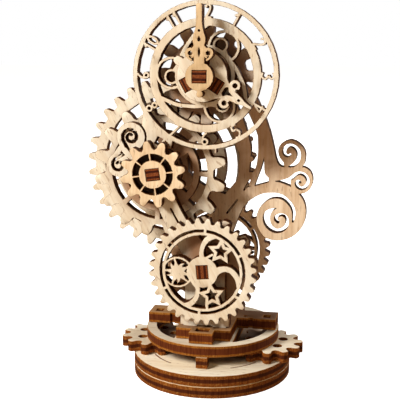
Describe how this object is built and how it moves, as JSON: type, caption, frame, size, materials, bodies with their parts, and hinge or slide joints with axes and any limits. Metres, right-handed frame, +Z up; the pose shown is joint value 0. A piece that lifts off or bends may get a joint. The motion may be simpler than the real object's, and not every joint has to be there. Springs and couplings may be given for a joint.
{
  "type": "wooden mechanical clock",
  "caption": "Small plywood mechanical clock: scrollwork plates on a round layered base, a hand-turned drive gear, stacked wheels and a ring dial with two hands.",
  "frame": {"origin": "centre of the base disc's under side", "axes": "+Z up, the dial and hands face -Y, +X to the right of the dial as seen from the front"},
  "size_m": [0.0616, 0.0416, 0.0966],
  "materials": {
    "pale_ply": "bare birch plywood, laser cut, with burnt edges",
    "shaded_ply": "bare birch plywood, laser cut, browner",
    "peg_wood": "burnt cut edges of plywood strip"
  },
  "bodies": {
    "frame": {"base_disc_lower": "pale_ply", "base_disc_upper": "pale_ply", "left_base_cog": "pale_ply", "right_base_cog": "pale_ply", "front_post": "shaded_ply", "rear_post": "shaded_ply", "base_ring": "pale_ply", "top_pad": "pale_ply", "front_plate": "pale_ply", "rear_plate": "shaded_ply"},
    "drive": {"drive_axle": "peg_wood", "front_drive_gear": "pale_ply", "drive_wheel": "pale_ply", "drive_collar": "shaded_ply", "rear_drive_collar": "shaded_ply", "rear_drive_gear": "shaded_ply"},
    "centre": {"centre_axle": "peg_wood", "front_pinion": "pale_ply", "centre_wheel": "pale_ply", "centre_collar": "shaded_ply", "rear_wheel": "pale_ply"},
    "hour": {"hour_hand": "pale_ply", "hour_slat_1": "peg_wood", "hour_slat_2": "peg_wood", "hour_slat_3": "peg_wood", "hour_wheel": "pale_ply"},
    "minute": {"minute_axle": "peg_wood", "minute_hand": "pale_ply", "minute_collar": "shaded_ply", "minute_pinion": "pale_ply"}
  },
  "joints": [
    {"name": "drive_spin", "type": "hinge", "parent": "frame", "child": "drive", "pos_m": [0, 0, 0.03], "axis": [0, -1, 0], "continuous": true},
    {"name": "centre_spin", "type": "hinge", "parent": "frame", "child": "centre", "pos_m": [-0.01254, 0, 0.05425], "axis": [0, -1, 0], "continuous": true},
    {"name": "hour_spin", "type": "hinge", "parent": "frame", "child": "hour", "pos_m": [0, 0, 0.0785], "axis": [0, -1, 0], "continuous": true},
    {"name": "minute_spin", "type": "hinge", "parent": "frame", "child": "minute", "pos_m": [0, 0, 0.0785], "axis": [0, -1, 0], "continuous": true}
  ],
  "couplings": [
    {"joint": "centre_spin", "follows": "drive_spin", "ratio": -0.75},
    {"joint": "hour_spin", "follows": "drive_spin", "ratio": 1},
    {"joint": "minute_spin", "follows": "drive_spin", "ratio": 3}
  ]
}
